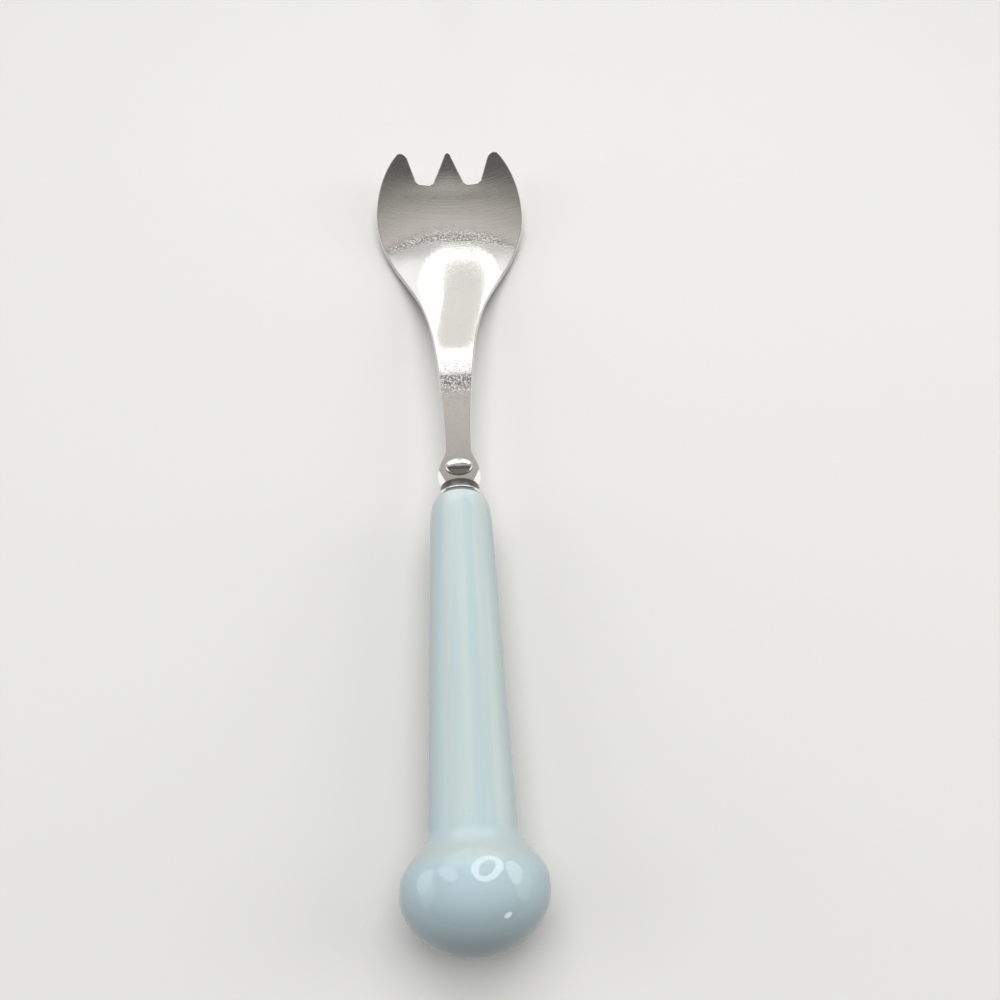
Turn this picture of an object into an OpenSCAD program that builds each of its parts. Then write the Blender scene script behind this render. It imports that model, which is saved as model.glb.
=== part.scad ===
/* [Glazed handle] */
// Length of the handle from its butt to the face that meets the collar
handle_length = 82; // [70:0.5:110]
// Diameter of the knob at its widest ring
knob_diameter = 24; // [20:0.5:30]
// Distance from the butt to the knob's widest ring
knob_back = 9.3; // [7:0.1:12]
// Distance from the knob's widest ring to where the grip begins
knob_front = 8.5; // [6:0.1:12]
// Diameter of the grip where it leaves the knob
grip_butt_diameter = 15; // [12:0.1:18]
// Diameter of the grip where the shoulder begins
grip_top_diameter = 13.1; // [11.5:0.1:15]
// Length of the rounded shoulder under the collar
shoulder_length = 7.5; // [4:0.5:12]
// Diameter of the end face under the collar
end_diameter = 10.4; // [10:0.1:11.4]
// Diameter of the blind bore that takes the tang
bore_diameter = 6; // [5.4:0.1:7]
// Depth of the blind bore
bore_depth = 60; // [52:1:66]

/* [Collar ring] */
// Outside diameter of the ring
ring_diameter = 10.5; // [10:0.1:12]
// Thickness of the ring
ring_thickness = 0.9; // [0.6:0.1:1.6]
// Thickness of the cement joint between the ring and the glaze
joint_thickness = 0.3; // [0.2:0.05:0.6]
// How far the cement joint stays back from the ring's edge
joint_recess = 0.45; // [0.2:0.05:0.8]

/* [Neck and tang] */
// Length of the round neck between the ring and the flat head
neck_length = 2.6; // [2:0.1:6]
// Diameter of the neck where it meets the head
neck_diameter = 8.4; // [8:0.1:9]
// Diameter of the neck's foot on the ring
neck_foot_diameter = 9.4; // [9:0.1:9.8]
// Rounding of the neck's front edge
neck_rounding = 0.5; // [0.3:0.1:0.9]
// Diameter of the spigot that centres the ring
spigot_diameter = 5; // [4.6:0.1:5.2]
// Diameter of the tang
tang_diameter = 4; // [3.4:0.1:4.4]
// Length of the tang inside the handle
tang_length = 50; // [40:1:51]
// Number of grooves that key the tang into the cement
groove_count = 6; // [3:1:8]
// Depth of a groove
groove_depth = 0.4; // [0.2:0.1:0.6]
// Width of a groove
groove_width = 1.6; // [1:0.1:2]
// Distance from one groove to the next
groove_pitch = 5; // [4:0.5:6]

/* [Plan of the head] */
// Length of the head from the neck to the tine tips
head_length = 130.2; // [120:0.2:150]
// Width of the head where it meets the neck
root_width = 7.2; // [6.4:0.1:7.6]
// Width across the two lobes of the flared end
lobe_width = 9.4; // [8.4:0.1:10.4]
// Distance from the neck to the widest line of the lobes
lobe_length = 3.4; // [2.4:0.1:4]
// Distance from the neck to the narrowest line of the stem
waist_length = 9.8; // [8.5:0.1:13]
// Width of the stem at its narrowest line
stem_width = 6; // [5:0.1:7]
// Width of the stem where the bowl begins
stem_bowl_width = 8.2; // [7.4:0.1:10]
// Distance from the neck to where the bowl begins
stem_length = 32; // [26:0.5:44]
// Width of the bowl at its widest line
bowl_width = 43.8; // [38:0.1:48]
// Distance from the middle tine's tip back to the bowl's widest line
bowl_setback = 26; // [24:0.1:28]
// Length of the half ellipse that the bowl's outline follows past its widest line
nose_length = 34; // [32:0.1:40]

/* [Tines] */
// Length of the middle tine from the gaps' floor to its tip
tine_length = 11.8; // [10.5:0.1:14]
// How far the outer tines' tops stand back from the middle one's tip
outer_setback = 1.9; // [1.2:0.1:3]
// Width of the middle tine across its rounded tip
middle_tip_width = 2; // [1.4:0.1:2.6]
// Width of an outer tine across its rounded tip
outer_tip_width = 4; // [3:0.1:5]
// Width of the middle tine at the gaps' floor
tine_root_width = 10.5; // [8.5:0.1:11.5]
// Width of a gap at its floor
gap_floor_width = 4.4; // [4:0.1:5.4]
// Rounding of the corners at a gap's floor
gap_rounding = 1.1; // [0.6:0.1:1.8]

/* [Rise and thickness of the head] */
// Distance from the tine tips back to the lowest point of the bowl
belly_setback = 40; // [34:0.5:46]
// Distance from the neck to where the stem starts to bend down
arch_start = 18; // [12:0.5:24]
// Height of the tine tips over the table
tip_height = 9; // [7:0.1:12]
// Radius of the curve from side to side at the tines, where it is complete
camber_radius = 55; // [44:0.5:80]
// Thickness of the head at the neck
root_thickness = 2.8; // [2.2:0.1:3.4]
// Thickness of the bowl
bowl_thickness = 1.7; // [1.4:0.1:2.2]
// Thickness at the tine tips
tip_thickness = 1.3; // [1:0.1:1.6]
// How far the rounding of the rim reaches in from the edge
rim_rounding = 0.5; // [0.3:0.1:1]

/* [Oval boss] */
// Width of the polished boss across the head
boss_width = 6.1; // [5:0.1:6.4]
// Length of the boss along the head
boss_length = 4.3; // [3.6:0.1:4.6]
// Height of the boss over the flat face
boss_height = 1.1; // [0.7:0.1:1.5]
// Distance from the neck to the middle of the boss
boss_distance = 4.6; // [3.6:0.1:5.4]
// Width of the bright bevel on each lobe
bevel_width = 1; // [0.6:0.1:1.2]

/* [Hidden] */
$fn = 96;

// Clearance between the ring and the spigot it is centred on
ring_clearance = 0.05;
// How far a cutter runs past what it cuts
overrun = 2;
// Powers that make a smooth step leave late, from knob to grip, along the stem and into the bowl
knob_lean = 1.25;
stem_lean = 1.7;
bowl_lean = 2.05;
// Power that makes the stem bend down late on its way to the belly
arch_lean = 1.5;
// Power of the rise from the belly to the tine tips
rise_power = 2;
// Where along the head the cross curve starts and where it is complete
camber_shares = [0.45, 1];
// Slope of the lobes' bevels against the flat face, and their turn in plan
bevel_slope = 42;
bevel_turn = 24;
// Steps along each curved stretch of the profiles and of the head
curve_steps = 20;
rim_steps = 3;
face_steps = 10;
lobe_steps = 5;
flare_steps = 6;
stem_steps = 10;
bowl_steps = 20;
tip_steps = 13;
boss_sides = 40;

knob_radius = knob_diameter / 2;
axis_height = knob_radius;
ring_start = handle_length + joint_thickness;
neck_start = ring_start + ring_thickness;
head_start = neck_start + neck_length;
overall_length = head_start + head_length;
shoulder_start = handle_length - shoulder_length;
tang_end = handle_length - tang_length;
widest_at = head_length - bowl_setback;
belly_at = head_length - belly_setback;
floor_at = head_length - tine_length;
face_height = axis_height + root_thickness / 2;

// Smooth step from 0 to 1 and a plain mix of two values
function inside(t) = min(1, max(0, t));
function ease(t) = (1 - cos(180 * inside(t))) / 2;
function mix(a, b, t) = a + (b - a) * t;

// Half width of the head at a distance along it from the neck
function lobe_half(u) =
    mix(root_width, lobe_width, sqrt(1 - pow(1 - inside(u / lobe_length), 2))) / 2;
function flare_half(u) =
    mix(lobe_width, stem_width, ease((u - lobe_length) / (waist_length - lobe_length))) / 2;
function stem_half(u) =
    mix(stem_width, stem_bowl_width,
        pow((u - waist_length) / (stem_length - waist_length), stem_lean)) / 2;
function bowl_half(u) =
    mix(stem_half(u), bowl_width / 2,
        ease(pow(inside((u - stem_length) / (widest_at - stem_length)), bowl_lean)));
function nose_half(u) = bowl_width / 2 * sqrt(1 - pow((u - widest_at) / nose_length, 2));
function half_width(u) =
    u < lobe_length ? lobe_half(u)
    : u < waist_length ? flare_half(u)
    : u < widest_at ? bowl_half(u)
    : nose_half(u);

// Thickness of the sheet, height of its top face on the centreline, and its rise to the sides
function thickness(u) =
    u < belly_at ? mix(root_thickness, bowl_thickness, ease(u / belly_at))
    : mix(bowl_thickness, tip_thickness, ease((u - belly_at) / belly_setback));
function top_height(u) =
    u < belly_at
    ? mix(face_height, bowl_thickness,
        ease(pow(inside((u - arch_start) / (belly_at - arch_start)), arch_lean)))
    : mix(bowl_thickness, tip_height, pow((u - belly_at) / belly_setback, rise_power));
function camber_part(u) =
    ease((u / head_length - camber_shares[0]) / (camber_shares[1] - camber_shares[0]));
function mid_height(x, u) =
    top_height(u) - thickness(u) / 2 + camber_part(u) * x * x / 2 / camber_radius;

// One cross section: up round the left rim, over the top, down round the right rim, back below
function rim_point(side, angle, u) =
    let (x = side * (half_width(u) - rim_rounding * (1 - cos(angle))))
    [x, u, mid_height(x, u) + sin(angle) * thickness(u) / 2];
function face_point(side, t, u) =
    let (x = mix(-1, 1, t) * (half_width(u) - rim_rounding))
    [x, u, mid_height(x, u) + side * thickness(u) / 2];
function section(u) = concat(
    [for (i = [-rim_steps:rim_steps]) rim_point(-1, 90 * i / rim_steps, u)],
    [for (i = [1:face_steps - 1]) face_point(1, i / face_steps, u)],
    [for (i = [-rim_steps:rim_steps]) rim_point(1, -90 * i / rim_steps, u)],
    [for (i = [1:face_steps - 1]) face_point(-1, 1 - i / face_steps, u)]);

// Two strips close an end: the points of a section over and under its middle, from the left rim
function upper(k, count) = (rim_steps + k) % count;
function lower(k, count) = (rim_steps - k + count) % count;
function end_pair(a, b, c, d) = [for (face = [[a, b, d], [a, d, c]])
    if (face[0] != face[1] && face[1] != face[2] && face[2] != face[0]) face];

// Distances from the neck at which the cross sections stand
function steps_between(a, b, count) = [for (i = [0:count - 1]) mix(a, b, i / count)];
stations = concat(
    [for (i = [0:lobe_steps - 1]) lobe_length * (1 - cos(90 * i / lobe_steps))],
    steps_between(lobe_length, waist_length, flare_steps),
    steps_between(waist_length, stem_length, stem_steps),
    steps_between(stem_length, widest_at, bowl_steps),
    steps_between(widest_at, head_length, tip_steps),
    [head_length]);

// Profiles of the turned pieces, as radius and distance from the butt
knob_curve = [for (i = [0:curve_steps])
    [knob_radius * sin(90 * i / curve_steps), knob_back * (1 - cos(90 * i / curve_steps))]];
knob_neck_curve = [for (i = [1:curve_steps])
    [mix(knob_radius, grip_butt_diameter / 2, ease(pow(i / curve_steps, knob_lean))),
     knob_back + knob_front * i / curve_steps]];
shoulder_curve = [for (i = [0:curve_steps])
    [mix(end_diameter, grip_top_diameter, cos(90 * i / curve_steps)) / 2,
     shoulder_start + shoulder_length * sin(90 * i / curve_steps)]];
groove_places = [for (i = [1:groove_count]) handle_length - i * groove_pitch];

module on_axis() {
    translate([0, -overall_length / 2, axis_height]) rotate([-90, 0, 0]) children();
}

module in_head() {
    translate([0, head_start - overall_length / 2, 0]) children();
}

// Sheet of the head, lofted through its cross sections
module head_sheet() {
    rings = [for (u = stations) section(u)];
    count = len(rings[0]);
    last = len(rings) - 1;
    points = [for (ring = rings) each ring];
    half = count / 2;
    walls = [for (i = [0:last - 1]) for (j = [0:count - 1])
        let (a = i * count + j, b = i * count + (j + 1) % count)
        each [[a, a + count, b], [b, a + count, b + count]]];
    near_end = [for (k = [0:half - 1]) each
        end_pair(upper(k, count), upper(k + 1, count), lower(k, count), lower(k + 1, count))];
    far_end = [for (k = [0:half - 1]) each
        end_pair(upper(k + 1, count), upper(k, count), lower(k + 1, count), lower(k, count))];
    far_faces = [for (face = far_end) [for (j = face) j + last * count]];
    polyhedron(points = points, faces = concat(walls, near_end, far_faces), convexity = 6);
}

// Lean of a line from a root that touches the circle round a tip, and of the outline at u
function lean_to_tip(root, centre, radius) =
    atan2(centre.x - root.x, centre.y - root.y) - asin(radius / norm(centre - root));
function outline_lean(u) =
    atan(pow(bowl_width / 2 / nose_length, 2) * (u - widest_at) / nose_half(u));

// The middle tine's sides meet its tip circle at one lean; an outer one's edges have one each
middle_radius = middle_tip_width / 2;
outer_radius = outer_tip_width / 2;
middle_root = [-tine_root_width / 2, floor_at];
outer_root = [tine_root_width / 2 + gap_floor_width, floor_at];
middle_centre = [0, head_length - middle_radius];
middle_lean = lean_to_tip(middle_root, middle_centre, middle_radius);
outer_top = head_length - outer_setback - outer_radius;
touch_at = outer_top + outer_radius * sin(outline_lean(outer_top + outer_radius / 2));
outward_lean = outline_lean(touch_at);
outer_centre = [nose_half(touch_at) - outer_radius * cos(outward_lean), outer_top];
inward_lean = lean_to_tip(outer_root, outer_centre, outer_radius);

// Outline of one gap between two tines, its floor rounded
module gap_outline() {
    reach = tine_length + overrun;
    offset(r = gap_rounding) offset(delta = -gap_rounding)
        polygon([[tine_root_width / 2, floor_at], outer_root,
            outer_root + reach * [tan(inward_lean), 1],
            [tine_root_width / 2 - reach * tan(middle_lean), floor_at + reach]]);
}

// What is cut off round a tip circle: a wide block down to where the edges touch the circle
module tip_outline(radius, left_lean, right_lean) {
    touch_left = radius * [-cos(left_lean), sin(left_lean)];
    touch_right = radius * [cos(right_lean), sin(right_lean)];
    top = 2 * radius + overrun;
    difference() {
        polygon([touch_left, [0, 0], touch_right, [overrun + radius, touch_right.y],
            [overrun + radius, top], [-overrun - radius, top], [-overrun - radius, touch_left.y]]);
        circle(r = radius);
    }
}

module tine_cuts() {
    linear_extrude(height = tip_height + bowl_width / 2) {
        translate(middle_centre) tip_outline(middle_radius, middle_lean, middle_lean);
        for (side = [0, 1]) mirror([side, 0]) {
            gap_outline($fn = 32);
            translate(outer_centre) tip_outline(outer_radius, inward_lean, outward_lean, $fn = 64);
        }
    }
}

// Flat bevel across the outer corner of one lobe
module lobe_bevel() {
    span = lobe_width;
    translate([lobe_width / 2, lobe_length, face_height])
        rotate([0, 0, -bevel_turn]) rotate([0, bevel_slope, 0])
        translate([-span, -span, -bevel_width / 2]) cube([2 * span, 2 * span, span]);
}

module boss() {
    translate([0, boss_distance, face_height])
        scale([boss_width / 2, boss_length / 2, boss_height]) sphere(r = 1, $fn = boss_sides);
}

module fork_head() {
    color("silver") in_head() {
        difference() {
            head_sheet();
            tine_cuts();
            for (side = [0, 1]) mirror([side, 0, 0]) lobe_bevel();
        }
        boss();
    }
}

// Outline of the tang, its grooves and the spigot, from the axis outwards
module tang_outline() {
    difference() {
        translate([0, tang_end]) square([tang_diameter / 2, tang_length]);
        for (place = groove_places)
            translate([tang_diameter / 2 - groove_depth, place - groove_width / 2])
                square([groove_depth + overrun, groove_width]);
    }
    translate([0, handle_length]) square([spigot_diameter / 2, neck_start - handle_length]);
}

module neck_outline() {
    round_centre = neck_diameter / 2 - neck_rounding;
    polygon(concat(
        [[0, neck_start], [neck_foot_diameter / 2, neck_start]],
        [for (i = [0:curve_steps])
            [mix(neck_foot_diameter, neck_diameter, sin(90 * i / curve_steps)) / 2,
             mix(neck_start, head_start - neck_rounding, 1 - cos(90 * i / curve_steps))]],
        [for (i = [1:curve_steps])
            [round_centre + neck_rounding * cos(90 * i / curve_steps),
             head_start - neck_rounding * (1 - sin(90 * i / curve_steps))]],
        [[0, head_start]]));
}

module neck_tang() {
    color("dimgray") on_axis() rotate_extrude() {
        tang_outline();
        neck_outline();
    }
}

module collar_ring() {
    bead = ring_thickness / 2;
    color("gainsboro") on_axis() rotate_extrude() {
        translate([spigot_diameter / 2 + ring_clearance, ring_start])
            square([ring_diameter / 2 - bead - spigot_diameter / 2 - ring_clearance, ring_thickness]);
        translate([ring_diameter / 2 - bead, ring_start + bead]) circle(r = bead);
    }
}

module cement() {
    color("lightgray") on_axis() rotate_extrude() difference() {
        union() {
            translate([0, handle_length - bore_depth]) square([bore_diameter / 2, bore_depth]);
            translate([0, handle_length])
                square([end_diameter / 2 - joint_recess, joint_thickness]);
        }
        tang_outline();
    }
}

module handle() {
    color("lightblue") on_axis() rotate_extrude() difference() {
        polygon(concat(knob_curve, knob_neck_curve, shoulder_curve, [[0, handle_length]]));
        translate([0, handle_length - bore_depth])
            square([bore_diameter / 2, bore_depth + overrun]);
    }
}

fork_head();
neck_tang();
collar_ring();
cement();
handle();
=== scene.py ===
import math

import bmesh
import bpy
from mathutils import Matrix, Vector
from mathutils.kdtree import KDTree


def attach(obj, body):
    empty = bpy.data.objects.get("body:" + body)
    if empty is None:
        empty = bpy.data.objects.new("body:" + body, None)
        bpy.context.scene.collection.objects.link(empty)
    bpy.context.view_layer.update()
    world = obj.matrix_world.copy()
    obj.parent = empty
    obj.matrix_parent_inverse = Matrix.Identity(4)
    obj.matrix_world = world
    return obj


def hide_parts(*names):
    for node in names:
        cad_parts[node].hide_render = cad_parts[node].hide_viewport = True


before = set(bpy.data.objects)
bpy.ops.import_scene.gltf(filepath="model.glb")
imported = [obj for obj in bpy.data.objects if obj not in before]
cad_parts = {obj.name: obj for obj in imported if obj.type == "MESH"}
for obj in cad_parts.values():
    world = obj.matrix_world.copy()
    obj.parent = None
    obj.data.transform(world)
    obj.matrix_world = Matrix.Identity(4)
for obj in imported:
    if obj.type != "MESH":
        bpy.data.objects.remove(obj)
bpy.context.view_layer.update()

scene = bpy.context.scene
print("frame loaded, nodes:", ", ".join(sorted(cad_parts)))

# Sizes of pieces are millimetres, as in the part's source, and a finished mesh is scaled to metres.
# Places in finishes, of lamps and of the camera are in metres
metre = 0.001
halfLength = 108.0  # half the fork, so that y = distance from the butt - halfLength
axisHeight = 12.0  # height of the handle's axis over the table


def mix(a, b, t):
    return a + (b - a) * t


def inside(t):
    return min(1.0, max(0.0, t))


def ease(t):
    return (1 - math.cos(math.pi * inside(t))) / 2


def shaded(colour, share):
    return tuple(c * share for c in colour)


# Finishes: a wrapped socket takes part in sums, and one method adds any other node


class Wire:
    def __init__(self, finish, socket):
        self.finish = finish
        self.socket = socket

    def math(self, operation, *values):
        inputs = dict(enumerate(values))
        return self.finish.node("ShaderNodeMath", {"operation": operation}, inputs)

    def __add__(self, other):
        return self.math("ADD", self, other)

    def __radd__(self, other):
        return self.math("ADD", other, self)

    def __sub__(self, other):
        return self.math("SUBTRACT", self, other)

    def __rsub__(self, other):
        return self.math("SUBTRACT", other, self)

    def __mul__(self, other):
        return self.math("MULTIPLY", self, other)

    def __rmul__(self, other):
        return self.math("MULTIPLY", other, self)

    def __truediv__(self, other):
        return self.math("DIVIDE", self, other)

    def __pow__(self, other):
        return self.math("POWER", self, other)

    def __abs__(self):
        return self.math("ABSOLUTE", self)


class Finish:
    def __init__(self, owner):
        self.owner = owner
        owner.use_nodes = True
        self.tree = owner.node_tree
        self.tree.nodes.clear()

    # Any node: its settings first, then the values or links of its sockets
    def node(self, kind, settings=None, inputs=None, output=0):
        made = self.tree.nodes.new(kind)
        for key, value in (settings or {}).items():
            setattr(made, key, value)
        for key, value in (inputs or {}).items():
            if isinstance(value, Wire):
                self.tree.links.new(value.socket, made.inputs[key])
            else:
                made.inputs[key].default_value = value
        return Wire(self, made.outputs[output]) if len(made.outputs) else None

    def place(self):  # object coordinates, in metres
        return self.node("ShaderNodeTexCoord", output="Object")

    def axes(self, vector):
        split = self.node("ShaderNodeSeparateXYZ", None, {0: vector})
        return [Wire(self, s) for s in split.socket.node.outputs]

    # Noise on object coordinates stretched by a scale for each axis, in waves per metre
    def noise(self, scale, detail=2.0, roughness=0.5, turn=(0, 0, 0)):
        mapped = self.node("ShaderNodeMapping", None,
                           {"Vector": self.place(), "Rotation": turn, "Scale": scale})
        return self.node("ShaderNodeTexNoise", None,
                         {"Vector": mapped, "Scale": 1.0, "Detail": detail, "Roughness": roughness})

    # A smooth step from 0 to 1 while the value goes from low to high
    def step(self, value, low, high):
        return self.node("ShaderNodeMapRange", {"interpolation_type": "SMOOTHSTEP"},
                         {"Value": value, "From Min": low, "From Max": high})

    def between(self, value, span):  # rises over the span's first two numbers, falls over the last two
        return self.step(value, *span[:2]) * (1.0 - self.step(value, *span[2:]))

    # Numbers stand for the colour sockets, since a Mix node's socket names repeat
    def blend(self, factor, a, b):
        if not isinstance(a, Wire):
            a = (*a, 1.0)
        if not isinstance(b, Wire):
            b = (*b, 1.0)
        return self.node("ShaderNodeMix", {"data_type": "RGBA"}, {0: factor, 6: a, 7: b}, 2)

    def bump(self, height, strength, distance, below=None):
        inputs = {"Height": height, "Strength": strength, "Distance": distance}
        if below is not None:
            inputs["Normal"] = below
        return self.node("ShaderNodeBump", None, inputs)

    def surface(self, inputs):
        shader = self.node("ShaderNodeBsdfPrincipled", None, inputs)
        self.node("ShaderNodeOutputMaterial", None, {"Surface": shader})
        return self.owner


def newFinish(name):
    return Finish(bpy.data.materials.new(name))


# Fine scratches run lengthwise along the stem and crosswise in the upper bowl, over a fine grain.
# Places are along the fork in metres, and scales of noise are in waves per metre
satinSteel = {
    "colour": (0.74, 0.72, 0.685),
    "paleColour": (0.79, 0.775, 0.745),
    "roughness": 0.09,
    "handling": (300, 260, 300),  # clouds of wear, which also vary the roughness
    "handlingRoughness": 0.06,
    "lengthwise": (2600, 110, 600),
    "lengthwiseShare": 0.35,  # the lengthwise scratches are that much shallower
    "crosswise": (36, 2400, 600),
    "crosswiseTurn": (0, 0, 0.05),
    "brushed": (0.055, 0.072),  # over this stretch the scratches turn from lengthwise to crosswise
    "scratchStrength": 0.5,
    "scratchDepth": 0.00002,
    "streaks": (60, 1500, 600),
    "streakTurn": (0, 0, 0.07),
    "streakRange": (0.45, 0.7),
    "streakShare": 0.5,
    "streakColour": (0.84, 0.83, 0.805),
    "pits": (1900, 1500, 1900),
    "pitRange": (0.52, 0.68),
    "pitStrength": 0.7,
    "pitDepth": 0.00006,
    "pitted": ((0.002, 0.005, 0.012, 0.016), (0.0665, 0.0705, 0.0765, 0.08)),  # stretches of coarser grain
    "pittedBend": 30,  # the stretches bend back towards the edges by this times the offset squared
    "smoothShare": 0.1,  # share of the grain that the rest of the steel shows
    "clearPlace": (0.0024, 0.053),  # the lower bowl turns matt round this clear oval
    "clearSize": (0.0112, 0.0215),
    "clearEdge": (0.93, 1.12),
    "clearFray": 0.2,
    "matStretch": (0.03, 0.045, 0.071, 0.076),
    "matBend": 18,
    "matRoughness": 0.22,
    "matDimReflectionColour": (0.61, 0.605, 0.59),
}


def makeSatinSteel():
    look = satinSteel
    f = newFinish("satinSteel")
    x, y = f.axes(f.place())[:2]
    offset = x * x
    lengthwise = f.noise(look["lengthwise"], detail=3, roughness=0.6)
    crosswise = f.noise(look["crosswise"], detail=3, roughness=0.6, turn=look["crosswiseTurn"])
    turned = f.step(y, *look["brushed"])
    brush = lengthwise * (1.0 - turned) * look["lengthwiseShare"] + crosswise * turned
    pits = f.step(f.noise(look["pits"], roughness=0.7), *look["pitRange"])
    low, high = (f.between(y + offset * look["pittedBend"], span) for span in look["pitted"])
    pits = pits * ((low + high) * (1.0 - look["smoothShare"]) + look["smoothShare"])
    handling = f.noise(look["handling"], detail=4, roughness=0.6)
    (midX, midY), (halfX, halfY) = look["clearPlace"], look["clearSize"]
    across, along = (x - midX) / halfX, (y - midY) / halfY
    outward = (across * across + along * along) ** 0.5
    mat = f.step(outward + (lengthwise - 0.5) * look["clearFray"], *look["clearEdge"])
    mat = mat * f.between(y + offset * look["matBend"], look["matStretch"])
    colour = f.blend(handling, look["colour"], look["paleColour"])
    streaks = f.noise(look["streaks"], detail=3, roughness=0.6, turn=look["streakTurn"])
    streaks = f.step(streaks, *look["streakRange"]) * turned
    colour = f.blend(streaks * look["streakShare"], colour, look["streakColour"])
    # The matt stretch is rougher, and its darker colour is painted dim reflection
    colour = f.blend(mat, colour, look["matDimReflectionColour"])
    roughness = look["roughness"] + (handling - 0.5) * look["handlingRoughness"] + mat * look["matRoughness"]
    scratched = f.bump(brush, look["scratchStrength"], look["scratchDepth"])
    normal = f.bump(pits, look["pitStrength"], look["pitDepth"], scratched)
    return f.surface({"Base Color": colour, "Metallic": 1.0, "Roughness": roughness, "Normal": normal})


polishedSteel = {
    "colour": (0.8, 0.79, 0.765),
    "cloudShade": 0.94,
    "clouds": (420, 420, 420),
    "roughness": 0.06,
    "roughnessSpread": 0.05,
    "ripples": (3000, 900, 3000),
    "rippleStrength": 0.05,
    "rippleDepth": 0.000004,
}


def makePolishedSteel():
    look = polishedSteel
    f = newFinish("polishedSteel")
    clouds = f.noise(look["clouds"], detail=3)
    colour = f.blend(clouds, look["colour"], shaded(look["colour"], look["cloudShade"]))
    roughness = look["roughness"] + (clouds - 0.5) * look["roughnessSpread"]
    normal = f.bump(f.noise(look["ripples"]), look["rippleStrength"], look["rippleDepth"])
    return f.surface({"Base Color": colour, "Metallic": 1.0, "Roughness": roughness, "Normal": normal})


# The neck's very dark colour, far below that of steel, is painted shade and painted dark reflection
turnedSteelPaintedShade = {
    "colour": (0.18, 0.167, 0.155),
    "cloudShade": 0.86,
    "clouds": (300, 300, 300),
    "roughness": 0.3,
    "roughnessSpread": 0.12,
    "rings": (2, 3800, 2),
    "ringStrength": 0.3,
    "ringDepth": 0.000008,
}


def makeTurnedSteelPaintedShade():
    look = turnedSteelPaintedShade
    f = newFinish("turnedSteelPaintedShade")
    rings = f.noise(look["rings"])
    clouds = f.noise(look["clouds"], detail=3)
    colour = f.blend(clouds, look["colour"], shaded(look["colour"], look["cloudShade"]))
    roughness = look["roughness"] + (rings - 0.5) * look["roughnessSpread"]
    normal = f.bump(rings, look["ringStrength"], look["ringDepth"])
    return f.surface({"Base Color": colour, "Metallic": 1.0, "Roughness": roughness, "Normal": normal})


ringSteel = {
    "colour": (0.84, 0.83, 0.81),
    "ringShade": 0.93,
    "rings": (2, 5200, 2),
    "roughness": 0.08,
    "roughnessSpread": 0.06,
}


def makeRingSteel():
    look = ringSteel
    f = newFinish("ringSteel")
    rings = f.noise(look["rings"])
    colour = f.blend(rings, look["colour"], shaded(look["colour"], look["ringShade"]))
    roughness = look["roughness"] + (rings - 0.5) * look["roughnessSpread"]
    return f.surface({"Base Color": colour, "Metallic": 1.0, "Roughness": roughness})


darkCement = {
    "colour": (0.11, 0.105, 0.1),
    "paleColour": (0.2, 0.195, 0.185),
    "grain": (2600, 2600, 2600),
    "grainStrength": 0.5,
    "grainDepth": 0.00006,
    "roughness": 0.85,
}


def makeDarkCement():
    look = darkCement
    f = newFinish("darkCement")
    grain = f.noise(look["grain"], detail=4, roughness=0.7)
    colour = f.blend(grain, look["colour"], look["paleColour"])
    normal = f.bump(grain, look["grainStrength"], look["grainDepth"])
    return f.surface({"Base Color": colour, "Roughness": look["roughness"], "Normal": normal})


# The glaze is pale blue. Along the grip a paler painted sheen stands for reflections running its length, and
# leaves two bluer bands open
glaze = {
    "colour": (0.436, 0.575, 0.635),
    "sheenColour": (0.56, 0.645, 0.635),
    "sheenRise": (-0.096, -0.086),  # the painted sheen sets in over this stretch
    "sheenShares": (0.55, 0.45),  # plain and in streaks
    "sheenGaps": ((0.2, 0.2, 0.55), (-0.7, 0.24, 0.45)),  # bluer bands left open in the painted sheen: middle, half width and strength, in grip radii
    "sheenGapCore": 0.2,  # share of a band's half width that is fully open
    "gripRadius": (0.0075, 0.00655),
    "gripEnds": (-0.09, -0.0335),
    "streaks": (330, 14, 330),
    "streakRange": (0.3, 0.7),
    "clouds": (60, 34, 60),
    "cloudColour": (0.5, 0.59, 0.575),
    "cloudShare": 0.3,
    "lipHighlightColour": (0.5, 0.56, 0.545),
    "lipHighlightSpan": (-0.0965, -0.0945, -0.0937, -0.091),  # where a painted highlight, a pale band, runs round the neck of the knob
    "lipHighlightWander": 0.002,
    "lipHighlightShare": 0.6,
    "specks": (1500, 1500, 1500),
    "speckRange": (0.74, 0.8),
    "speckColour": (0.36, 0.45, 0.46),
    "speckShare": 0.35,
    "roughness": 0.05,
    "roughnessSpread": 0.05,
    "waves": (150, 90, 150),
    "waveStrength": 0.12,
    "waveDepth": 0.0002,
    "ior": 1.5,
}


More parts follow.
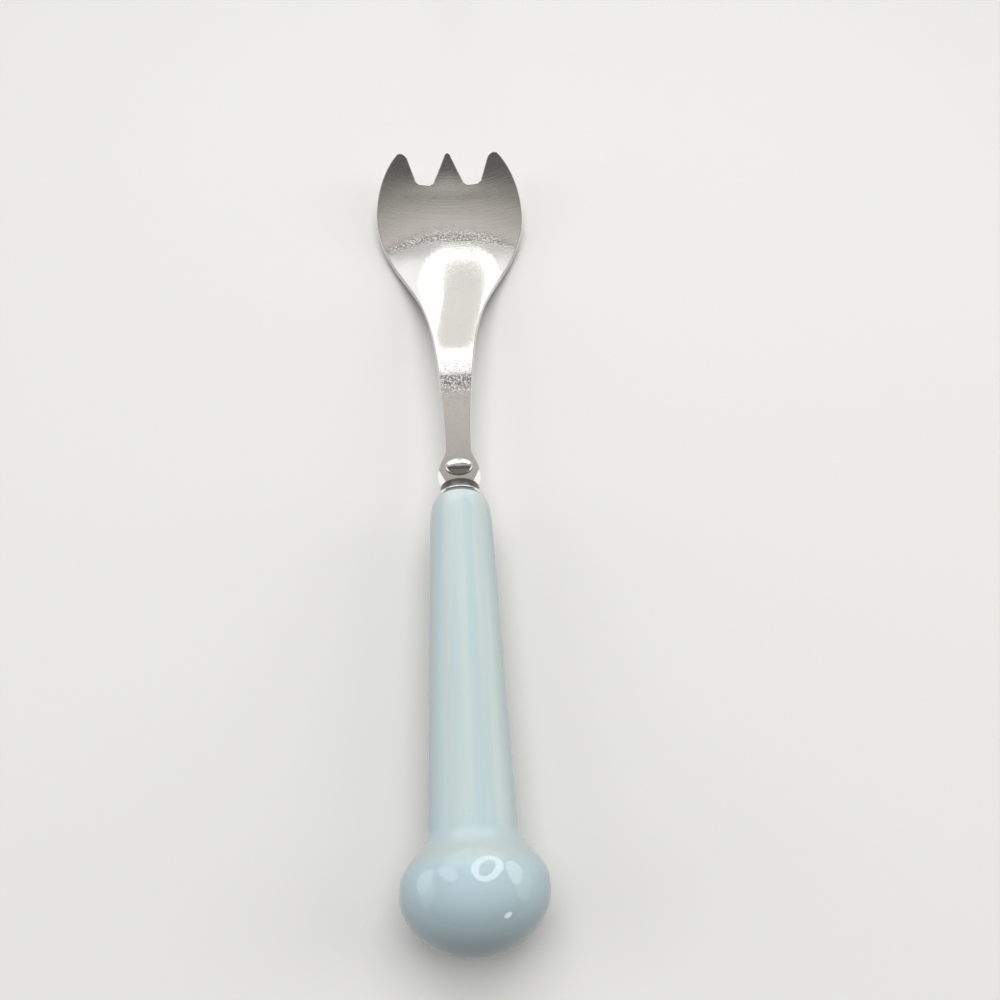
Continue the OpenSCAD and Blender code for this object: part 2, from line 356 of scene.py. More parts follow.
def makeGlaze():
    look = glaze
    f = newFinish("paleBlueGlaze")
    x, y = f.axes(f.place())[:2]
    start, end = look["gripEnds"]
    wide, narrow = look["gripRadius"]
    across = x / (wide + (y - start) * ((narrow - wide) / (end - start)))
    # Painted sheen: a paler colour along the grip stands for reflections, with bluer bands left open
    sheen = f.step(y, *look["sheenRise"])
    for middle, spread, strength in look["sheenGaps"]:
        aside = abs(across - middle)
        sheen = sheen * (1.0 - strength * (1.0 - f.step(aside, spread * look["sheenGapCore"], spread)))
    streaks = f.step(f.noise(look["streaks"], detail=3, roughness=0.55), *look["streakRange"])
    clouds = f.noise(look["clouds"], detail=3)
    plainShare, streakShare = look["sheenShares"]
    colour = f.blend(sheen * (plainShare + streakShare * streaks), look["colour"], look["sheenColour"])
    # Painted highlight: a pale band round the neck of the knob
    lipHighlight = f.between(y + (clouds - 0.5) * look["lipHighlightWander"], look["lipHighlightSpan"])
    colour = f.blend(lipHighlight * look["lipHighlightShare"], colour, look["lipHighlightColour"])
    colour = f.blend(clouds * look["cloudShare"], colour, look["cloudColour"])
    specks = f.step(f.noise(look["specks"], detail=1), *look["speckRange"])
    colour = f.blend(specks * look["speckShare"], colour, look["speckColour"])
    roughness = look["roughness"] + (clouds - 0.5) * look["roughnessSpread"]
    normal = f.bump(f.noise(look["waves"]), look["waveStrength"], look["waveDepth"])
    return f.surface({"Base Color": colour, "Roughness": roughness, "Normal": normal, "IOR": look["ior"]})


def shadeSmooth(bm, sharpDegrees=38.0):
    limit = math.radians(sharpDegrees)
    for face in bm.faces:
        face.smooth = True
    for edge in bm.edges:
        edge.smooth = not (edge.is_manifold and edge.calc_face_angle(0.0) > limit)


def makePiece(name, bm, finish, node):
    bmesh.ops.scale(bm, vec=(metre,) * 3, verts=bm.verts)
    mesh = bpy.data.meshes.new(name)
    bm.to_mesh(mesh)
    bm.free()
    mesh.materials.append(finish)
    piece = bpy.data.objects.new(name, mesh)
    scene.collection.objects.link(piece)
    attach(piece, "root")
    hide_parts(node)
    print("made", name, "with", len(mesh.polygons), "faces")


# Sine and cosine at evenly spaced angles of a quarter turn
def quarter(steps):
    return [(math.sin(math.pi / 2 * i / steps), math.cos(math.pi / 2 * i / steps)) for i in range(steps + 1)]


mergeDistance = 0.0005  # closer points of a turned piece are one


# A turned piece: the outline is (radius, distance from the butt) and turns about the handle's axis
def turn(outline, closed=False, steps=128):
    bm = bmesh.new()
    verts = [bm.verts.new((r, s - halfLength, axisHeight)) for r, s in outline]
    pairs = list(zip(verts, verts[1:]))
    if closed:
        pairs.append((verts[-1], verts[0]))
    edges = [bm.edges.new(pair) for pair in pairs]
    bmesh.ops.spin(bm, geom=verts + edges, cent=(0, 0, axisHeight), axis=(0, 1, 0),
                   angle=math.tau, steps=steps, use_merge=True)
    bmesh.ops.remove_doubles(bm, verts=bm.verts, dist=mergeDistance)
    bmesh.ops.recalc_face_normals(bm, faces=bm.faces)
    return bm


handlePiece = {
    "length": 82.0,
    "knobRadius": 12.0,
    "knobBack": 9.3,
    "knobFront": 8.5,
    "knobLean": 1.25,
    "gripButtRadius": 7.5,
    "gripTopRadius": 6.55,
    "shoulderLength": 7.5,
    "endRadius": 5.2,
    "boreRadius": 3.0,
    "boreDepth": 60.0,
    "curveSteps": 32,
    "gripSteps": 12,
    "turnSteps": 160,
}


def makeHandle():
    p = handlePiece
    steps, gripSteps = p["curveSteps"], p["gripSteps"]
    outline = [(p["knobRadius"] * sine, p["knobBack"] * (1 - cosine)) for sine, cosine in quarter(steps)]
    for i in range(1, steps + 1):
        t = ease((i / steps) ** p["knobLean"])
        outline.append((mix(p["knobRadius"], p["gripButtRadius"], t),
                        p["knobBack"] + p["knobFront"] * i / steps))
    shoulderStart = p["length"] - p["shoulderLength"]
    gripStart = p["knobBack"] + p["knobFront"]
    for i in range(1, gripSteps):
        t = i / gripSteps
        outline.append((mix(p["gripButtRadius"], p["gripTopRadius"], t),
                        mix(gripStart, shoulderStart, t)))
    outline += [(mix(p["endRadius"], p["gripTopRadius"], cosine), shoulderStart + p["shoulderLength"] * sine)
                for sine, cosine in quarter(steps)]
    boreEnd = p["length"] - p["boreDepth"]
    outline += [(p["boreRadius"], p["length"]), (p["boreRadius"], boreEnd), (0.0, boreEnd)]
    bm = turn(outline, steps=p["turnSteps"])
    shadeSmooth(bm)
    makePiece("glazed_handle", bm, makeGlaze(), "handle")


ringPiece = {"start": 82.3, "thickness": 0.9, "radius": 5.25, "holeRadius": 2.55, "beadSteps": 16}


def makeRing():
    p = ringPiece
    bead = p["thickness"] / 2
    centre = (p["radius"] - bead, p["start"] + bead)
    outline = [(p["holeRadius"], p["start"])]
    for i in range(p["beadSteps"] + 1):
        a = math.pi * (i / p["beadSteps"] - 0.5)
        outline.append((centre[0] + bead * math.cos(a), centre[1] + bead * math.sin(a)))
    outline.append((p["holeRadius"], p["start"] + p["thickness"]))
    bm = turn(outline, closed=True)
    shadeSmooth(bm)
    makePiece("bright_ring", bm, makeRingSteel(), "collar_ring")


neckPiece = {
    "start": 83.2,
    "length": 2.6,
    "footRadius": 4.7,
    "radius": 4.2,
    "rounding": 0.5,
    "spigotRadius": 2.5,
    "spigotStart": 82.0,
    "tangRadius": 2.0,
    "tangLength": 50.0,
    "grooveCount": 6,
    "groovePitch": 5.0,
    "grooveWidth": 1.6,
    "grooveDepth": 0.4,
    "flareSteps": 16,
    "roundingSteps": 8,
    "sharpDegrees": 50.0,
}


def makeNeck():
    p = neckPiece
    end = p["start"] + p["length"]
    tangEnd = p["spigotStart"] - p["tangLength"]
    outline = [(0.0, tangEnd), (p["tangRadius"], tangEnd)]
    for i in range(p["grooveCount"], 0, -1):
        place = p["spigotStart"] - i * p["groovePitch"]
        for side, cut in ((-1, 0), (-1, 1), (1, 1), (1, 0)):
            outline.append((p["tangRadius"] - cut * p["grooveDepth"], place + side * p["grooveWidth"] / 2))
    outline += [(p["tangRadius"], p["spigotStart"]), (p["spigotRadius"], p["spigotStart"]),
                (p["spigotRadius"], p["start"])]
    outline += [(mix(p["footRadius"], p["radius"], sine), mix(p["start"], end - p["rounding"], 1 - cosine))
                for sine, cosine in quarter(p["flareSteps"])]
    outline += [(p["radius"] - p["rounding"] * (1 - cosine), end - p["rounding"] * (1 - sine))
                for sine, cosine in quarter(p["roundingSteps"])[1:]]
    outline.append((0.0, end))
    bm = turn(outline)
    shadeSmooth(bm, p["sharpDegrees"])
    makePiece("turned_neck", bm, makeTurnedSteelPaintedShade(), "neck_tang")


headPiece = {
    "start": 85.8,
    "length": 130.2,
    "rootWidth": 7.2,
    "lobeWidth": 9.4,
    "lobeLength": 3.4,
    "waistLength": 9.8,
    "stemWidth": 6.0,
    "stemBowlWidth": 8.2,
    "stemLength": 32.0,
    "stemLean": 1.7,
    "bowlWidth": 43.8,
    "bowlSetback": 26.0,
    "bowlLean": 2.05,
    "noseLength": 34.0,
    "tineLength": 11.8,
    "outerSetback": 1.9,
    "tipRadius": 1.0,
    "outerTipRadius": 2.0,
    "tineRootWidth": 10.5,
    "gapWidth": 4.4,
    "gapRounding": 1.1,
    "bellySetback": 40.0,
    "archStart": 18.0,
    "archLean": 1.5,
    "tipHeight": 9.0,
    "camberRadius": 55.0,
    "camberShares": (0.45, 1.0),
    "rootThickness": 2.8,
    "bowlThickness": 1.7,
    "tipThickness": 1.3,
    "rim": 0.35,
    "bevelWidth": 0.65,
    "bevelSlope": 42.0,
    "bevelTurn": 24.0,
    "gatherLength": 30.0,  # over this length the columns gather towards the gaps' corners
    "sharpDegrees": 30.0,
    "mergeDistance": 0.002,
    "cutDistance": 0.00001,
}
widestAt = headPiece["length"] - headPiece["bowlSetback"]
bellyAt = headPiece["length"] - headPiece["bellySetback"]
floorAt = headPiece["length"] - headPiece["tineLength"]
faceHeight = axisHeight + headPiece["rootThickness"] / 2


def noseHalf(u):
    p = headPiece
    return p["bowlWidth"] / 2 * math.sqrt(1 - ((u - widestAt) / p["noseLength"]) ** 2)


def halfWidth(u):
    p = headPiece
    if u < p["lobeLength"]:
        swell = math.sqrt(1 - (1 - inside(u / p["lobeLength"])) ** 2)
        return mix(p["rootWidth"], p["lobeWidth"], swell) / 2
    if u < p["waistLength"]:
        t = (u - p["lobeLength"]) / (p["waistLength"] - p["lobeLength"])
        return mix(p["lobeWidth"], p["stemWidth"], ease(t)) / 2
    if u < widestAt:
        along = (u - p["waistLength"]) / (p["stemLength"] - p["waistLength"])
        stem = mix(p["stemWidth"], p["stemBowlWidth"], along ** p["stemLean"]) / 2
        t = inside((u - p["stemLength"]) / (widestAt - p["stemLength"])) ** p["bowlLean"]
        return mix(stem, p["bowlWidth"] / 2, ease(t))
    return noseHalf(u)


def thickness(u):
    p = headPiece
    if u < bellyAt:
        return mix(p["rootThickness"], p["bowlThickness"], ease(u / bellyAt))
    return mix(p["bowlThickness"], p["tipThickness"], ease((u - bellyAt) / p["bellySetback"]))


def midHeight(x, u):
    p = headPiece
    if u < bellyAt:
        bent = inside((u - p["archStart"]) / (bellyAt - p["archStart"])) ** p["archLean"]
        top = mix(faceHeight, p["bowlThickness"], ease(bent))
    else:
        top = mix(p["bowlThickness"], p["tipHeight"], ((u - bellyAt) / p["bellySetback"]) ** 2)
    low, high = p["camberShares"]
    camber = ease((u / p["length"] - low) / (high - low))
    return top - thickness(u) / 2 + camber * x * x / 2 / p["camberRadius"]


# A tine's edges are straight or follow the outline until they touch the circle at its tip. This is
# the lean of a line from the gap's floor to the circle, or to its far side if the radius is negative
def leanToTip(root, centre, radius):
    across, along = centre[0] - root[0], centre[1] - root[1]
    return math.atan2(across, along) - math.asin(radius / math.hypot(across, along))


def outlineLean(u):
    p = headPiece
    return math.atan((p["bowlWidth"] / 2 / p["noseLength"]) ** 2 * (u - widestAt) / noseHalf(u))


rootHalf = headPiece["tineRootWidth"] / 2
outerRoot = (rootHalf + headPiece["gapWidth"], floorAt)
middleTip = {"radius": headPiece["tipRadius"], "centre": (0.0, headPiece["length"] - headPiece["tipRadius"])}
middleLean = -leanToTip((rootHalf, floorAt), middleTip["centre"], -middleTip["radius"])
outerTip = {"radius": headPiece["outerTipRadius"]}
outerCentreAt = headPiece["length"] - headPiece["outerSetback"] - outerTip["radius"]
leanNearby = outlineLean(outerCentreAt + outerTip["radius"] / 2)  # a first estimate
touchAt = outerCentreAt + outerTip["radius"] * math.sin(leanNearby)
outwardLean = outlineLean(touchAt)
outerTip["centre"] = (noseHalf(touchAt) - outerTip["radius"] * math.cos(outwardLean), outerCentreAt)
inwardLean = leanToTip(outerRoot, outerTip["centre"], outerTip["radius"])


def onTip(tip, lean, side, u, plain):
    radius, (x, along) = tip["radius"], tip["centre"]
    if u < along + radius * math.sin(lean):
        return plain
    return x + side * math.sqrt(max(0.0, radius ** 2 - (u - along) ** 2))


def fillet(u):  # what the rounded corner at a gap's floor adds to a tine's side
    r = headPiece["gapRounding"]
    rise = u - floorAt
    return r - math.sqrt(r * r - (r - rise) ** 2) if rise < r else 0.0


def middleEdge(u):
    plain = rootHalf - (u - floorAt) * math.tan(middleLean) + fillet(u)
    return onTip(middleTip, middleLean, 1, u, plain)


def outerEdges(u):
    plain = outerRoot[0] + (u - floorAt) * math.tan(inwardLean) - fillet(u)
    return (onTip(outerTip, inwardLean, -1, u, plain), onTip(outerTip, outwardLean, 1, u, noseHalf(u)))


# The flat grid that becomes the head's top and underside: columns of a half, rim and corner lines, rows
headGrid = {
    "middle": 10,
    "gap": 8,
    "outer": 18,
    "rim": 5,
    "corner": 3,
    "lobeRows": 9,
    "waistRows": 10,
    "stemRows": 30,
    "bowlRows": 58,
    "noseRows": 14,
    "tineRows": 24,
    "tipRows": 12,
    "edgeSamples": 12,  # points on each border edge from which the rim's rounding is measured
}
headColumns = headGrid["middle"] + headGrid["gap"] + headGrid["outer"]
rimEnd = 1.5  # the rim's last line lies just inside the rounding, so that the broad face keeps its slope


def rimStep(k):  # distance of the rim's k-th line from the edge, in roundings
    steps = headGrid["rim"] - 1
    return 1 - math.cos(math.pi / 2 * k / steps) if k <= steps else rimEnd


# Distances from the neck at which the rows up to the gaps' floor stand
def headRows():
    p = headPiece
    g = headGrid
    rows = [p["lobeLength"] * (1 - cosine) for sine, cosine in quarter(g["lobeRows"])[:-1]]
    for start, end, count in ((p["lobeLength"], p["waistLength"], g["waistRows"]),
                              (p["waistLength"], p["stemLength"], g["stemRows"]),
                              (p["stemLength"], widestAt, g["bowlRows"]),
                              (widestAt, floorAt - p["rim"] * rimEnd, g["noseRows"])):
        rows += [mix(start, end, i / count) for i in range(count)]
    rows += [floorAt - p["rim"] * rimStep(k) for k in range(g["rim"], -1, -1)]
    return rows


# Where column a, counted from the middle line outwards, crosses the gaps' floor line
def floorPoint(a):
    g = headGrid
    r = headPiece["gapRounding"]
    corner = r * (1 - math.cos(math.pi / 4))
    b = a - g["middle"]
    if b < 0:
        return spreadMiddle(a, middleEdge(floorAt + corner)), floorAt + corner
    if b > g["gap"]:
        return spreadOuter(b - g["gap"], *outerEdges(floorAt + corner)), floorAt + corner
    left = b <= g["gap"] / 2
    k = b if left else g["gap"] - b
    if k <= g["corner"]:
        turned = math.pi / 4 * (1 - k / g["corner"])
        away, rise = r * (1 - math.sin(turned)), r * (1 - math.cos(turned))
    else:
        flat = (k - g["corner"]) / (g["gap"] / 2 - g["corner"])
        away, rise = mix(r, headPiece["gapWidth"] / 2, flat), 0.0
    return (rootHalf + away if left else outerRoot[0] - away), floorAt + rise


def spreadMiddle(a, edge):
    rim = min(headPiece["rim"], edge / rimEnd)
    k = headGrid["middle"] - a
    if k <= headGrid["rim"]:
        return edge - rim * rimStep(k)
    return (edge - rim * rimEnd) * a / (headGrid["middle"] - headGrid["rim"])


def spreadOuter(b, inner, outer):
    rim = min(headPiece["rim"], (outer - inner) / 2 / rimEnd)
    n = headGrid["rim"]
    k = headGrid["outer"] - b
    if b <= n:
        return inner + rim * rimStep(b)
    if k <= n:
        return outer - rim * rimStep(k)
    return mix(inner + rim * rimEnd, outer - rim * rimEnd, (b - n) / (headGrid["outer"] - 2 * n))


def tineStation(base, tip, j):
    g = headGrid
    if j <= g["tineRows"]:
        return mix(base, tip["centre"][1], j / g["tineRows"])
    return tip["centre"][1] + tip["radius"] * math.sin(math.pi / 2 * (j - g["tineRows"]) / g["tipRows"])


# Column a and row j of the flat grid become a place in the head's plan
def planPoint(a, j, rows):
    last = len(rows) - 1
    x, base = floorPoint(a)
    if j > last:
        if a <= headGrid["middle"]:
            u = tineStation(base, middleTip, j - last)
            return spreadMiddle(a, middleEdge(u)), u
        u = tineStation(base, outerTip, j - last)
        return spreadOuter(a - headGrid["middle"] - headGrid["gap"], *outerEdges(u)), u
    if j == last:
        return x, base
    u = rows[j] * base / floorAt
    wide = halfWidth(u)
    k = headColumns - a
    rim = headPiece["rim"]
    if k <= headGrid["rim"]:
        return wide - rim * rimStep(k), u
    evenShare = a / (headColumns - headGrid["rim"])
    floorShare = x / (halfWidth(base) - rim * rimEnd)
    share = mix(evenShare, floorShare, ease(1 + (u - floorAt) / headPiece["gatherLength"]))
    return share * (wide - rim * rimEnd), u


# Takes away what lies on the normal's side of a plane, and closes the cut
def cutOff(bm, place, normal):
    bmesh.ops.bisect_plane(bm, geom=bm.verts[:] + bm.edges[:] + bm.faces[:],
                           dist=headPiece["cutDistance"], plane_co=place, plane_no=normal, clear_outer=True)
    bmesh.ops.holes_fill(bm, edges=[e for e in bm.edges if e.is_boundary], sides=0)


def makeHead():
    p = headPiece
    g = headGrid
    rows = headRows()
    floorRow = len(rows) - 1
    rowCount = floorRow + g["tineRows"] + g["tipRows"]
    bm = bmesh.new()
    bmesh.ops.create_grid(bm, x_segments=2 * headColumns, y_segments=rowCount, size=1)
    cells = {}
    for face in bm.faces:
        c = face.calc_center_median()
        cells[face] = (abs(c.x) * headColumns, (c.y + 1) / 2 * rowCount)
    gaps = [face for face, (a, j) in cells.items()
            if j > floorRow and g["middle"] < a < g["middle"] + g["gap"]]
    bmesh.ops.delete(bm, geom=gaps, context="FACES")
    for v in bm.verts:
        a = round(abs(v.co.x) * headColumns)
        j = round((v.co.y + 1) / 2 * rowCount)
        x, u = planPoint(a, j, rows)
        v.co = Vector((math.copysign(x, v.co.x), u, 0))

    # The rim is rounded by the distance to the nearest edge, all but the end at the neck
    edges = [e for e in bm.edges if e.is_boundary and max(v.co.y for v in e.verts) > p["mergeDistance"]]
    samples = g["edgeSamples"]
    tree = KDTree(len(edges) * samples)
    for n, e in enumerate(edges):
        for k in range(samples):
            tree.insert(e.verts[0].co.lerp(e.verts[1].co, k / (samples - 1)), n * samples + k)
    tree.balance()
    halfThick = bm.verts.layers.float.new("halfThick")
    for v in bm.verts:
        near = inside(tree.find(v.co)[2] / p["rim"])
        v[halfThick] = thickness(v.co.y) / 2 * math.sqrt(1 - (1 - near) ** 2)
        v.co.z = midHeight(v.co.x, v.co.y)
    top = bm.verts[:]
    under = bmesh.ops.duplicate(bm, geom=bm.verts[:] + bm.edges[:] + bm.faces[:])["geom"]
    for v in top:
        v.co.z += v[halfThick]
    for v in under:
        if isinstance(v, bmesh.types.BMVert):
            v.co.z -= v[halfThick]
    bmesh.ops.remove_doubles(bm, verts=bm.verts, dist=p["mergeDistance"])
    bmesh.ops.holes_fill(bm, edges=[e for e in bm.edges if e.is_boundary], sides=0)

    # Bright bevels across the outer corners of the two lobes
    slope, turned = math.radians(p["bevelSlope"]), math.radians(p["bevelTurn"])
    for side in (-1, 1):
        normal = Vector((side * math.sin(slope) * math.cos(turned),
                         -math.sin(slope) * math.sin(turned), math.cos(slope)))
        corner = Vector((side * p["lobeWidth"] / 2, p["lobeLength"], faceHeight))
        cutOff(bm, corner - normal * p["bevelWidth"] / 2, normal)
    bmesh.ops.recalc_face_normals(bm, faces=bm.faces)
    bmesh.ops.translate(bm, verts=bm.verts, vec=(0, p["start"] - halfLength, 0))
    shadeSmooth(bm, p["sharpDegrees"])
    makePiece("satin_head", bm, makeSatinSteel(), "fork_head")


bossPiece = {"width": 6.1, "length": 4.3, "height": 1.1, "distance": 4.6, "sunk": 0.4, "lean": 5.5,
             "segments": (96, 48)}


def makeBoss():
    p = bossPiece
    bm = bmesh.new()
    around, upward = p["segments"]
    bmesh.ops.create_uvsphere(bm, u_segments=around, v_segments=upward, radius=1)
    bmesh.ops.scale(bm, verts=bm.verts, vec=(p["width"] / 2, p["length"] / 2, p["height"]))
    cutOff(bm, (0, 0, -p["sunk"]), (0, 0, -1))
    bmesh.ops.recalc_face_normals(bm, faces=bm.faces)
    bmesh.ops.rotate(bm, verts=bm.verts, matrix=Matrix.Rotation(-math.radians(p["lean"]), 3, "X"))
    bmesh.ops.translate(bm, verts=bm.verts,
                        vec=(0, headPiece["start"] - halfLength + p["distance"], faceHeight))
    shadeSmooth(bm)
    makePiece("polished_boss", bm, makePolishedSteel(), "fork_head")


makeHandle()
makeRing()
makeNeck()
makeHead()
makeBoss()
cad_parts["cement"].data.materials.clear()
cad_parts["cement"].data.materials.append(makeDarkCement())
print("pieces made and finished")

# The floor, the room and the lamps
floorLook = {
    "colour": (0.74, 0.74, 0.73),
    "cloudShade": 0.97,
    "clouds": (3, 3, 3),
    "bounceColour": (0.06, 0.06, 0.06),  # it throws little light back up at the fork
    "roughness": 0.6,
    "size": 1.8,
}


def makeFloor():
    look = floorLook
    f = newFinish("paleFloor")
    clouds = f.noise(look["clouds"])
    colour = f.blend(clouds, look["colour"], shaded(look["colour"], look["cloudShade"]))
    scattered = f.node("ShaderNodeLightPath", output="Is Diffuse Ray")
    colour = f.blend(scattered, colour, look["bounceColour"])
    finish = f.surface({"Base Color": colour, "Roughness": look["roughness"]})
    bm = bmesh.new()
    bmesh.ops.create_grid(bm, x_segments=1, y_segments=1, size=look["size"] / 2)
    mesh = bpy.data.meshes.new("floor")
    bm.to_mesh(mesh)
    bm.free()
    mesh.materials.append(finish)
    floor = bpy.data.objects.new("floor", mesh)
    scene.collection.objects.link(floor)


# The room as the steel mirrors it, by the angle in degrees at which a direction stands over the
# floor ahead: a bright window with greyer sides, a dark strip and a ceiling in bands. Pairs of numbers
# that aren't angles are shares of a direction across, ahead or up
roomLook = {
    "windowTop": (40.9, 42.6),
    "windowSlope": (0.02, 0.09),  # towards the right its top comes down by windowDrop degrees
    "windowDrop": 4.5,
    "windowWidth": (0.45, 0.6),
    "windowColour": (1.7, 1.7, 1.69),
    "sideColour": (0.55, 0.56, 0.56),
    "stripTop": (45.0, 46.6),
    "stripColour": (0.2, 0.205, 0.21),
    "ceilingColour": (0.66, 0.635, 0.605),
    "fading": (49.0, 55.5),
    "fadedColour": (0.505, 0.49, 0.465),
    "sideFading": (0.04, 0.25),
    "sideShare": 0.1,
    "beam": (57.2, 58.0, 58.9, 59.7),
    "beamColour": (0.2, 0.19, 0.175),
    "ceilingEnd": (62.6, 66.6),
    "endSlope": 13.0,  # degrees by which the ceiling ends sooner towards the sides
    "zenithColour": (0.13, 0.128, 0.122),
    "behind": (88.0, 100.0),
    "behindColour": (0.2, 0.195, 0.19),
    "lowSides": (0.85, 0.9),  # bright far to both sides, up to lowSideTop
    "lowSideTop": (0.45, 0.55),
    "lowSideColour": (1.2, 1.21, 1.2),
    "scatteredTurn": (-0.5, 0.4),  # the light that scatters comes from ahead rather than from behind
    "scatteredBehind": (0.02, 0.02, 0.02),
    "scatteredAhead": (0.36, 0.36, 0.36),
    "background": (0.86, 0.86, 0.86),
}


def makeRoom():
    look = roomLook
    world = bpy.data.worlds.new("room")
    scene.world = world
    f = Finish(world)
    x, y, z = f.axes(f.node("ShaderNodeTexCoord", output="Generated"))
    aside = abs(x)
    height = z.math("ARCTAN2", z, y) * math.degrees(1)
    colour = f.blend(f.step(height, *look["fading"]), look["ceilingColour"], look["fadedColour"])
    colour = f.blend(f.step(aside, *look["sideFading"]) * look["sideShare"], colour, look["zenithColour"])
    colour = f.blend(f.between(height, look["beam"]), colour, look["beamColour"])
    ended = f.step(height + aside * look["endSlope"], *look["ceilingEnd"])
    colour = f.blend(ended, colour, look["zenithColour"])
    colour = f.blend(f.step(height, *look["stripTop"]), look["stripColour"], colour)
    pane = f.blend(f.step(aside, *look["windowWidth"]), look["windowColour"], look["sideColour"])
    lowered = f.step(x, *look["windowSlope"]) * look["windowDrop"]
    colour = f.blend(f.step(height + lowered, *look["windowTop"]), pane, colour)
    colour = f.blend(f.step(height, *look["behind"]), colour, look["behindColour"])
    lowSides = f.step(aside, *look["lowSides"]) * (1.0 - f.step(z, *look["lowSideTop"]))
    colour = f.blend(lowSides, colour, look["lowSideColour"])
    ahead = f.step(y, *look["scatteredTurn"])
    scattered = f.blend(ahead, look["scatteredBehind"], look["scatteredAhead"])
    colour = f.blend(f.node("ShaderNodeLightPath", output="Is Diffuse Ray"), colour, scattered)
    colour = f.blend(f.node("ShaderNodeLightPath", output="Is Camera Ray"), colour, look["background"])
    light = f.node("ShaderNodeBackground", None, {"Color": colour, "Strength": 1.0})
    f.node("ShaderNodeOutputWorld", None, {"Surface": light})


# Small glowing cards that only mirrors show, in millimetres: where each hangs, which way it lies from
# what mirrors it, its corners or its half widths across and up, its turn in degrees and its hole
cards = [
    {"name": "farCard", "place": (0, 250, 0), "away": (0, 1, 0), "turn": 0,
     "corners": ((-6, 5), (15.2, 5), (15.2, 29), (13, 44), (10.2, 62), (7, 82), (4.6, 98), (2.6, 112),
                 (1, 120), (-0.6, 120), (-1.8, 110), (-2.7, 96), (-3.4, 80), (-4.1, 60), (-5, 43), (-6, 31)),
     "colour": (0.87, 0.865, 0.85), "strength": 1.0},
    {"name": "nearCard", "place": (0, 75, 0), "away": (0, 1, 0), "turn": 0,
     "corners": ((-3, 9.4), (9.1, 9.4), (8.3, 17), (7.4, 25), (6.8, 34), (5.6, 43), (4, 48), (-4.6, 48),
                 (-6, 43), (-6.3, 36), (-5.4, 27), (-4.2, 17)),
     "colour": (0.92, 0.91, 0.89), "strength": 1.0},
    {"name": "ringCard", "place": (3.4, -94.1, 27.4), "away": (0.295, 0.585, 0.755), "half": (4.4, 5.7),
     "turn": -6, "hole": (2.0, 3.7), "colour": (1.0, 0.99, 1.0), "strength": 5.5},
    {"name": "rightCard", "place": (10.2, -95.6, 24.3), "away": (0.839, 0.378, 0.391), "half": (4.3, 2.3),
     "turn": 12, "colour": (1.0, 1.0, 0.94), "strength": 3.2},
    {"name": "leftCard", "place": (-12.1, -96.6, 22.2), "away": (-0.958, 0.245, 0.152), "half": (3.9, 2.2),
     "turn": 10, "colour": (0.97, 1.0, 1.0), "strength": 2.4},
    {"name": "middleCard", "place": (-6.75, -95.0, 26.5), "away": (-0.595, 0.467, 0.654), "half": (2.1, 3.7),
     "turn": 20, "colour": (0.97, 1.0, 1.0), "strength": 2.2},
    {"name": "spotCard", "place": (7.6, -107.1, 22.1), "away": (0.583, -0.804, 0.119), "half": (1.0, 0.8),
     "turn": 0, "colour": (1.0, 1.0, 1.0), "strength": 6.0},
]
cardSegments = 64


def makeCards():
    for look in cards:
        bm = bmesh.new()
        if "corners" in look:
            bm.faces.new([bm.verts.new((x, up, 0)) for x, up in look["corners"]])
        else:
            hole = look.get("hole")
            outer = bmesh.ops.create_circle(bm, segments=cardSegments, radius=1, cap_ends=not hole)["verts"]
            bmesh.ops.scale(bm, verts=outer, vec=(*look["half"], 1))
            if hole:
                inner = bmesh.ops.create_circle(bm, segments=cardSegments, radius=1)["verts"]
                bmesh.ops.scale(bm, verts=inner, vec=(*hole, 1))
                bmesh.ops.bridge_loops(bm, edges=bm.edges[:])
        away = Vector(look["away"]).normalized()
        across = away.cross(Vector((0, 0, 1))).normalized()
        upward = across.cross(away)
        facing = Matrix((across, upward, away)).transposed().to_4x4()
        place = Matrix.Translation(Vector(look["place"]) * metre) @ facing
        place = place @ Matrix.Rotation(math.radians(look["turn"]), 4, "Z") @ Matrix.Scale(metre, 4)
        bmesh.ops.transform(bm, matrix=place, verts=bm.verts)
        mesh = bpy.data.meshes.new(look["name"])
        bm.to_mesh(mesh)
        bm.free()
        f = newFinish(look["name"])
        light = {"Color": (*look["colour"], 1.0), "Strength": look["strength"]}
        glow = f.node("ShaderNodeEmission", None, light)
        f.node("ShaderNodeOutputMaterial", None, {"Surface": glow})
        mesh.materials.append(f.owner)
        card = bpy.data.objects.new(look["name"], mesh)
        for rays in ("camera", "diffuse", "transmission", "volume_scatter", "shadow"):
            setattr(card, "visible_" + rays, False)
        scene.collection.objects.link(card)


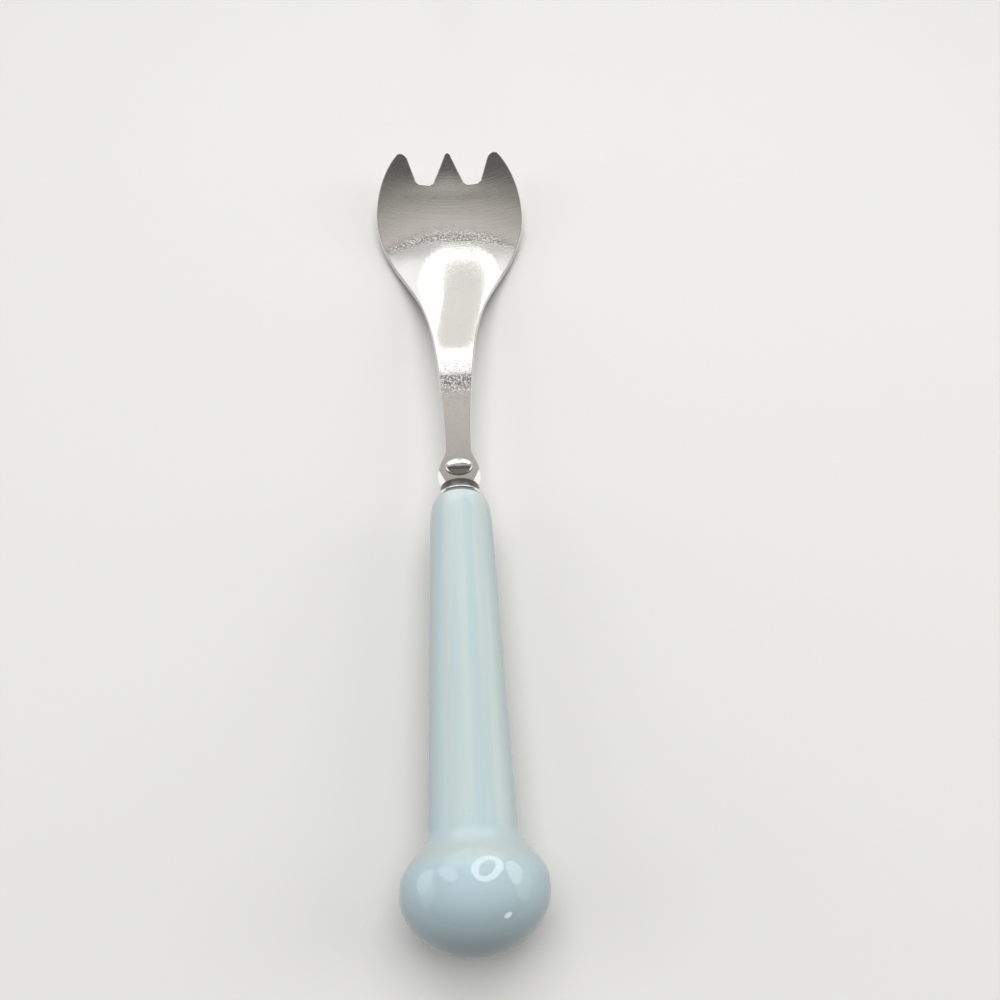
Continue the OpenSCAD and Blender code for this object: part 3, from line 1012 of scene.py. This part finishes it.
# Lamps light the fork and the floor, and mirrors don't show them. Places in metres, power in watts
lamps = [
    {"name": "softOverhead", "place": (0.03, 0.18, 0.9), "size": (0.8, 0.8), "power": 7.6,
     "colour": (1.0, 0.985, 0.96)},
    {"name": "softLeft", "place": (-0.8, -0.05, 0.4), "size": (0.5, 0.7), "power": 2.0,
     "colour": (0.97, 0.985, 1.0)},
    {"name": "softRight", "place": (0.75, -0.05, 0.42), "size": (0.4, 0.6), "power": 2.0,
     "colour": (1.0, 0.99, 0.97)},
]


def makeLamps():
    for look in lamps:
        data = bpy.data.lights.new(look["name"], "AREA")
        data.shape = "RECTANGLE"
        data.size, data.size_y = look["size"]
        data.energy = look["power"]
        data.color = look["colour"]
        lamp = bpy.data.objects.new(look["name"], data)
        lamp.location = look["place"]
        lamp.rotation_mode = "QUATERNION"
        lamp.rotation_quaternion = (-Vector(look["place"])).to_track_quat("-Z", "Y")
        lamp.visible_glossy = False
        scene.collection.objects.link(lamp)


# Fitted to the photograph: place in metres, angles in degrees
cameraLook = {"place": (0.00136, -0.10927, 0.14118), "down": 57.04, "toRight": 4.84, "roll": 1.53,
              "lens": 25.99, "sensor": 36, "clip": (0.005, 50)}


def makeCamera():
    look = cameraLook
    down, aside, roll = (math.radians(look[k]) for k in ("down", "toRight", "roll"))
    forward = Vector((math.sin(aside) * math.cos(down), math.cos(aside) * math.cos(down), -math.sin(down)))
    right = Vector((math.cos(aside), -math.sin(aside), 0))
    up = right.cross(forward)
    right, up = (math.cos(roll) * right + math.sin(roll) * up,
                 math.cos(roll) * up - math.sin(roll) * right)
    data = bpy.data.cameras.new("camera")
    data.sensor_width = look["sensor"]
    data.lens = look["lens"]
    data.clip_start, data.clip_end = look["clip"]
    camera = bpy.data.objects.new("camera", data)
    camera.matrix_world = Matrix((
        (right.x, up.x, -forward.x, look["place"][0]),
        (right.y, up.y, -forward.y, look["place"][1]),
        (right.z, up.z, -forward.z, look["place"][2]),
        (0, 0, 0, 1)))
    scene.collection.objects.link(camera)
    scene.camera = camera


makeFloor()
makeRoom()
makeCards()
makeLamps()
makeCamera()
scene.view_settings.view_transform = "Standard"
print("stage, lamps and camera set")
